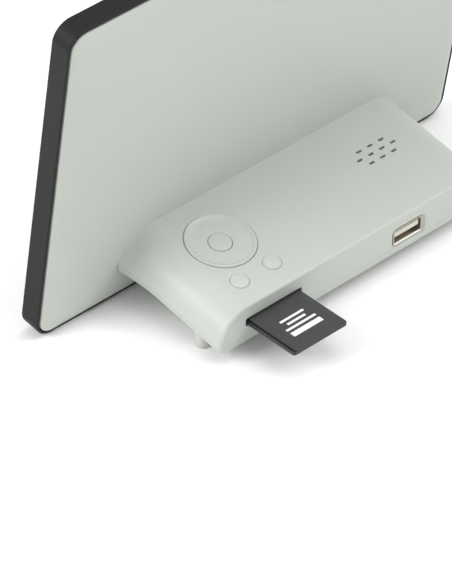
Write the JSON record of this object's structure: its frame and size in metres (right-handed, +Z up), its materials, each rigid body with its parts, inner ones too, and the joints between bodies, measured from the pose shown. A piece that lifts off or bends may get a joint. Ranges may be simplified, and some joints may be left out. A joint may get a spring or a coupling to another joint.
{
  "type": "digital photo frame",
  "caption": "Leaning digital photo frame with a control housing behind it: direction ring, keys, speaker slots, USB socket, and a memory card part way in its slot.",
  "frame": {"origin": "middle of the whole object's footprint, on the surface it stands on", "axes": "+X to the right as seen from the screen side, +Y to the back where the control housing is, +Z up"},
  "size_m": [0.188, 0.0804, 0.1324],
  "materials": {
    "pale_shell": "fine-grained moulded plastic, pale grey-green",
    "dark_shell": "satin moulded plastic, charcoal",
    "key_plastic": "smooth moulded plastic",
    "screen_glass": "dark screen, glossy",
    "light_guide": "polished acrylic",
    "zinc_steel": "zinc-plated pressed steel",
    "steel": "plated steel",
    "nickel": "nickel-plated steel",
    "circuit_board": "green solder mask",
    "black_plastic": "black moulded plastic",
    "red_plastic": "red insulation",
    "beige_plastic": "beige moulded plastic",
    "card_plastic": "dark moulded plastic",
    "foot_rubber": "soft grey rubber",
    "foam": "closed-cell foam",
    "paper_cone": "treated paper",
    "ribbon_film": "flat film cable"
  },
  "bodies": {
    "frame_body": {"front_bezel": "dark_shell", "rear_cover": "pale_shell", "base_cover": "pale_shell", "lcd_glass": "screen_glass", "light_guide": "light_guide", "backlight_tray": "zinc_steel", "screen_rail_left": "zinc_steel", "screen_rail_right": "zinc_steel", "rail_screw_1": "steel", "rail_screw_2": "steel", "rail_screw_3": "steel", "rail_screw_4": "steel", "base_screw_1": "steel", "base_screw_2": "steel", "base_screw_3": "steel", "base_screw_4": "steel", "key_board": "circuit_board", "key_board_screw_1": "steel", "key_board_screw_2": "steel", "switch_up": "black_plastic", "switch_down": "black_plastic", "switch_left": "black_plastic", "switch_right": "black_plastic", "switch_ok": "black_plastic", "switch_back": "black_plastic", "switch_menu": "black_plastic", "speaker_gasket": "foam", "speaker_basket": "zinc_steel", "speaker_cone": "paper_cone", "speaker_lead_red": "red_plastic", "speaker_lead_black": "black_plastic", "screen_cable": "ribbon_film", "screen_connector": "beige_plastic", "main_board": "circuit_board", "board_screw_1": "steel", "board_screw_2": "steel", "board_screw_3": "steel", "main_chip": "black_plastic", "memory_chip": "black_plastic", "power_coil": "black_plastic", "card_socket_body": "black_plastic", "card_socket_shell": "steel", "usb_shell": "nickel", "usb_tongue": "beige_plastic", "power_jack": "black_plastic", "power_jack_pin": "nickel", "rear_foot_left": "foot_rubber", "rear_foot_right": "foot_rubber", "bezel_pad_left": "foot_rubber", "bezel_pad_right": "foot_rubber"},
    "memory_card": {"memory_card": "card_plastic"},
    "direction_ring": {"direction_ring": "key_plastic"},
    "ok_button": {"ok_button": "key_plastic"},
    "back_button": {"back_button": "key_plastic"},
    "menu_button": {"menu_button": "key_plastic"}
  },
  "joints": [
    {"name": "memory_card_slide", "type": "slide", "parent": "frame_body", "child": "memory_card", "axis": [0, 1, 0], "range_m": [-0.0195, 0.009]},
    {"name": "direction_ring_rock", "type": "hinge", "parent": "frame_body", "child": "direction_ring", "pos_m": [0.0339, -0.00892, 0.02148], "axis": [1, 0, 0], "range_deg": [-1.8, 1.8], "stiffness_Nm_per_rad": 0.4},
    {"name": "ok_button_press", "type": "slide", "parent": "frame_body", "child": "ok_button", "axis": [0, 0.1771, 0.9842], "range_m": [-0.0004, 0], "stiffness_N_per_m": 600},
    {"name": "back_button_press", "type": "slide", "parent": "frame_body", "child": "back_button", "axis": [0, 0.1771, 0.9842], "range_m": [-0.0005, 0], "stiffness_N_per_m": 600},
    {"name": "menu_button_press", "type": "slide", "parent": "frame_body", "child": "menu_button", "axis": [0, 0.1771, 0.9842], "range_m": [-0.0005, 0], "stiffness_N_per_m": 600}
  ]
}
